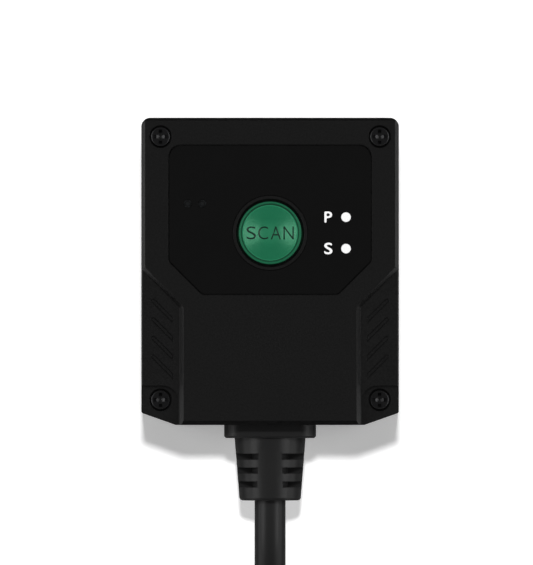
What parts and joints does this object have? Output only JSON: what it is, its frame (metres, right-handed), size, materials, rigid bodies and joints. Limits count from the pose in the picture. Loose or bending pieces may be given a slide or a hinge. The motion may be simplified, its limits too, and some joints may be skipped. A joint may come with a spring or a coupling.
{
  "type": "fixed barcode reader",
  "caption": "Compact fixed-mount barcode reader: black two-part case with a front window, a round green scan button, indicator lights, barred grip pads and a moulded cable with a plug.",
  "frame": {"origin": "middle of the underside of the body", "axes": "+Y is the reading direction, out of the front window; +Z is out of the button face"},
  "size_m": [0.07, 0.167, 0.0243],
  "materials": {
    "shell": "fine-grained moulded black",
    "film": "smooth dark film",
    "vent": "porous black",
    "button": "satin green",
    "light": "clear to white",
    "screw": "blackened",
    "steel": "plated",
    "insert": "turned",
    "window": "dark tint",
    "seal": "matte",
    "board": "solder mask",
    "chip": "moulded",
    "connector": "natural",
    "lead": "insulated wire",
    "engine": "moulded",
    "lens": "coated",
    "lamp": "phosphor",
    "aimer": "clear green",
    "ribbon": "amber film",
    "pvc": "satin black jacket",
    "tie": "woven strap",
    "plug_metal": "nickel plate",
    "tongue": "moulded",
    "contact": "gold plate"
  },
  "bodies": {
    "reader": {"top_cover": "shell", "bottom_case": "shell", "cover_screws": "screw", "mount_inserts": "insert", "front_window": "window", "window_seal": "seal", "panel_film": "film", "tact_switch": "chip", "power_light_pipe": "light", "status_light_pipe": "light", "indicator_diodes": "lamp", "sound_vents": "vent", "sounder": "chip", "main_board": "board", "board_screws": "steel", "decoder_chip": "chip", "memory_chip": "chip", "capacitors": "connector", "board_socket": "connector", "lead_plug": "connector", "leads": "lead", "engine_chassis": "engine", "engine_screws": "steel", "sensor_board": "board", "image_sensor": "chip", "lens_barrel": "engine", "lens": "lens", "lamps": "lamp", "aiming_lamp": "aimer", "engine_ribbon": "ribbon", "strain_relief": "pvc", "cable_run": "pvc", "cable_coil": "pvc", "cable_tie": "tie", "cable_tail": "pvc", "plug_grip": "pvc", "plug_shell": "plug_metal", "plug_tongue": "tongue", "plug_contacts": "contact"},
    "button": {"scan_button": "button", "switch_plunger": "chip"}
  },
  "joints": [
    {"name": "button_press", "type": "slide", "parent": "reader", "child": "button", "axis": [0, 0, -1], "range_m": [0, 0.0004], "stiffness_N_per_m": 400, "springref_m": -0.001}
  ]
}
